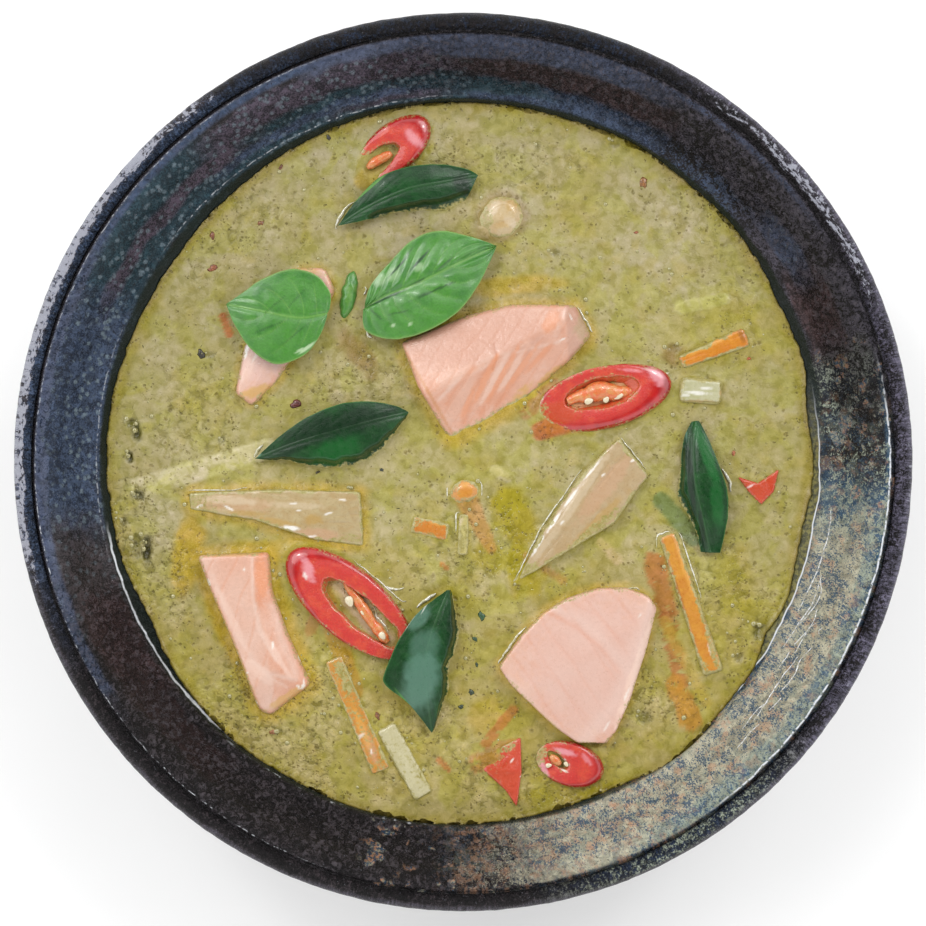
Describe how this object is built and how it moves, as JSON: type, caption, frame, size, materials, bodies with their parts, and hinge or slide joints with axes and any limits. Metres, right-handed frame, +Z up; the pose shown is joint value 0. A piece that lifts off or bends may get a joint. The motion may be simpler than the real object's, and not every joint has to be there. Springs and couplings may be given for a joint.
{
  "type": "thai green curry in a bowl",
  "caption": "Wide round stoneware bowl with a bead rim and foot ring, filled with creamy green curry; salmon chunks, chilli slices, leaves and vegetable strips break its surface.",
  "frame": {"origin": "centre of the foot ring's underside, where the bowl stands", "axes": "+Z up out of the bowl; +Y away from the eater, +X to their right"},
  "size_m": [0.22, 0.22, 0.068],
  "materials": {
    "reactive_glaze": "glossy reactive glaze, dark brown-black running to navy, teal and speckled tan",
    "green_curry": "opaque creamy khaki-green coconut broth with fine herb specks and oil pools",
    "salmon_flesh": "cooked salmon flesh, moist, pale pink-orange with paler fat lines",
    "red_chilli": "wet red chilli, glossy skin and paler cut wall",
    "basil_leaf": "fresh bright green leaf with raised veins, wet highlights",
    "lime_leaf": "dark leathery leaf, wet",
    "bamboo_shoot": "cooked bamboo shoot, beige, fibrous, wet",
    "carrot": "cooked carrot, orange, wet",
    "pale_vegetable": "cooked pale green-white vegetable, wet"
  },
  "bodies": {
    "root": {"bowl": "reactive_glaze", "curry": "green_curry", "salmon_centre": "salmon_flesh", "salmon_lower_left": "salmon_flesh", "salmon_lower_right": "salmon_flesh", "salmon_upper_left": "salmon_flesh", "chilli_top": "red_chilli", "chilli_right": "red_chilli", "chilli_left": "red_chilli", "chilli_bottom": "red_chilli", "red_piece_bottom": "red_chilli", "red_piece_right": "red_chilli", "basil_left": "basil_leaf", "basil_right": "basil_leaf", "basil_bud": "basil_leaf", "lime_top": "lime_leaf", "lime_middle": "lime_leaf", "lime_right": "lime_leaf", "lime_bottom": "lime_leaf", "bamboo_right": "bamboo_shoot", "bamboo_left": "bamboo_shoot", "carrot_upper_right": "carrot", "carrot_right": "carrot", "carrot_left_centre": "carrot", "carrot_lower_left": "carrot", "carrot_centre": "carrot", "bean_piece": "pale_vegetable", "pale_strip_left": "pale_vegetable", "pale_strip_centre": "pale_vegetable", "pale_knob": "pale_vegetable"}
  },
  "joints": []
}
